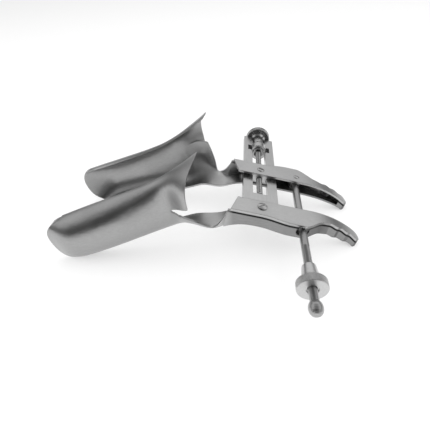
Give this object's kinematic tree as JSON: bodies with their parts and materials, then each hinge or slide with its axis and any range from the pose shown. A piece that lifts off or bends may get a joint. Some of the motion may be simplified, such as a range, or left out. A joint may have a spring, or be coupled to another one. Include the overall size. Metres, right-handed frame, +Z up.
{
  "type": "bivalve speculum",
  "caption": "Two-valved vaginal speculum of pressed steel sheet, with a guide plate, a lead screw that spreads the valves and a cross spindle with a nut that holds the handles.",
  "frame": {"origin": "centre of the bounding box at floor level, with the speculum standing on its two blade tips and two grips", "axes": "+X from the blade tips towards the grips, +Y from the fixed front valve towards the valve that the lead screw moves, +Z up"},
  "size_m": [0.1722, 0.15, 0.0629],
  "materials": {
    "blade_steel": "satin brushed stainless steel",
    "steel": "satin stainless steel",
    "threaded_steel": "turned stainless steel"
  },
  "bodies": {
    "guide_plate": {"guide_plate": "steel", "front_pivot_screw": "steel", "front_pivot_nut": "steel", "front_washer_upper": "steel", "front_washer_lower": "steel"},
    "front_valve": {"front_valve": "blade_steel"},
    "height_screw": {"height_spindle": "threaded_steel", "height_knob": "steel", "height_knob_collar": "steel", "height_knob_pin": "steel"},
    "slider": {"slider": "steel", "rear_pivot_screw_upper": "steel", "rear_pivot_screw_lower": "steel"},
    "rear_valve": {"rear_valve": "blade_steel", "cross_spindle_rivet": "steel", "eye_washer_upper": "steel", "eye_washer_lower": "steel"},
    "cross_spindle": {"cross_spindle": "threaded_steel", "cross_spindle_knob": "steel"},
    "cross_nut": {"cross_nut": "steel"}
  },
  "joints": [
    {"name": "front_valve_hinge", "type": "hinge", "parent": "guide_plate", "child": "front_valve", "pos_m": [0.03179, -0.0156, 0.02358], "axis": [0.2603, 0, 0.9655], "range_deg": [-9, 7]},
    {"name": "height_knob_turn", "type": "hinge", "parent": "guide_plate", "child": "height_screw", "pos_m": [0.03179, 0.0664, 0.02358], "axis": [0, 1, 0], "range_deg": [-4340, 3620]},
    {"name": "slider_travel", "type": "slide", "parent": "guide_plate", "child": "slider", "axis": [0, 1, 0], "range_m": [-0.012, 0.01]},
    {"name": "rear_valve_hinge", "type": "hinge", "parent": "slider", "child": "rear_valve", "pos_m": [0.03179, 0.0207, 0.02358], "axis": [0.2603, 0, 0.9655], "range_deg": [-7.5, 9.5]},
    {"name": "cross_spindle_hinge", "type": "hinge", "parent": "rear_valve", "child": "cross_spindle", "pos_m": [0.05342, 0.0207, 0.01775], "axis": [0.2603, 0, 0.9655], "range_deg": [-11.8, 9.4]},
    {"name": "cross_nut_travel", "type": "slide", "parent": "cross_spindle", "child": "cross_nut", "axis": [0, 1, 0], "range_m": [-0.005, 0.005]}
  ],
  "couplings": [
    {"joint": "height_knob_turn", "follows": "slider_travel", "rad_per_m": 6283.2},
    {"joint": "rear_valve_hinge", "follows": "front_valve_hinge", "ratio": -1},
    {"joint": "cross_spindle_hinge", "follows": "front_valve_hinge", "ratio": 1.2}
  ]
}
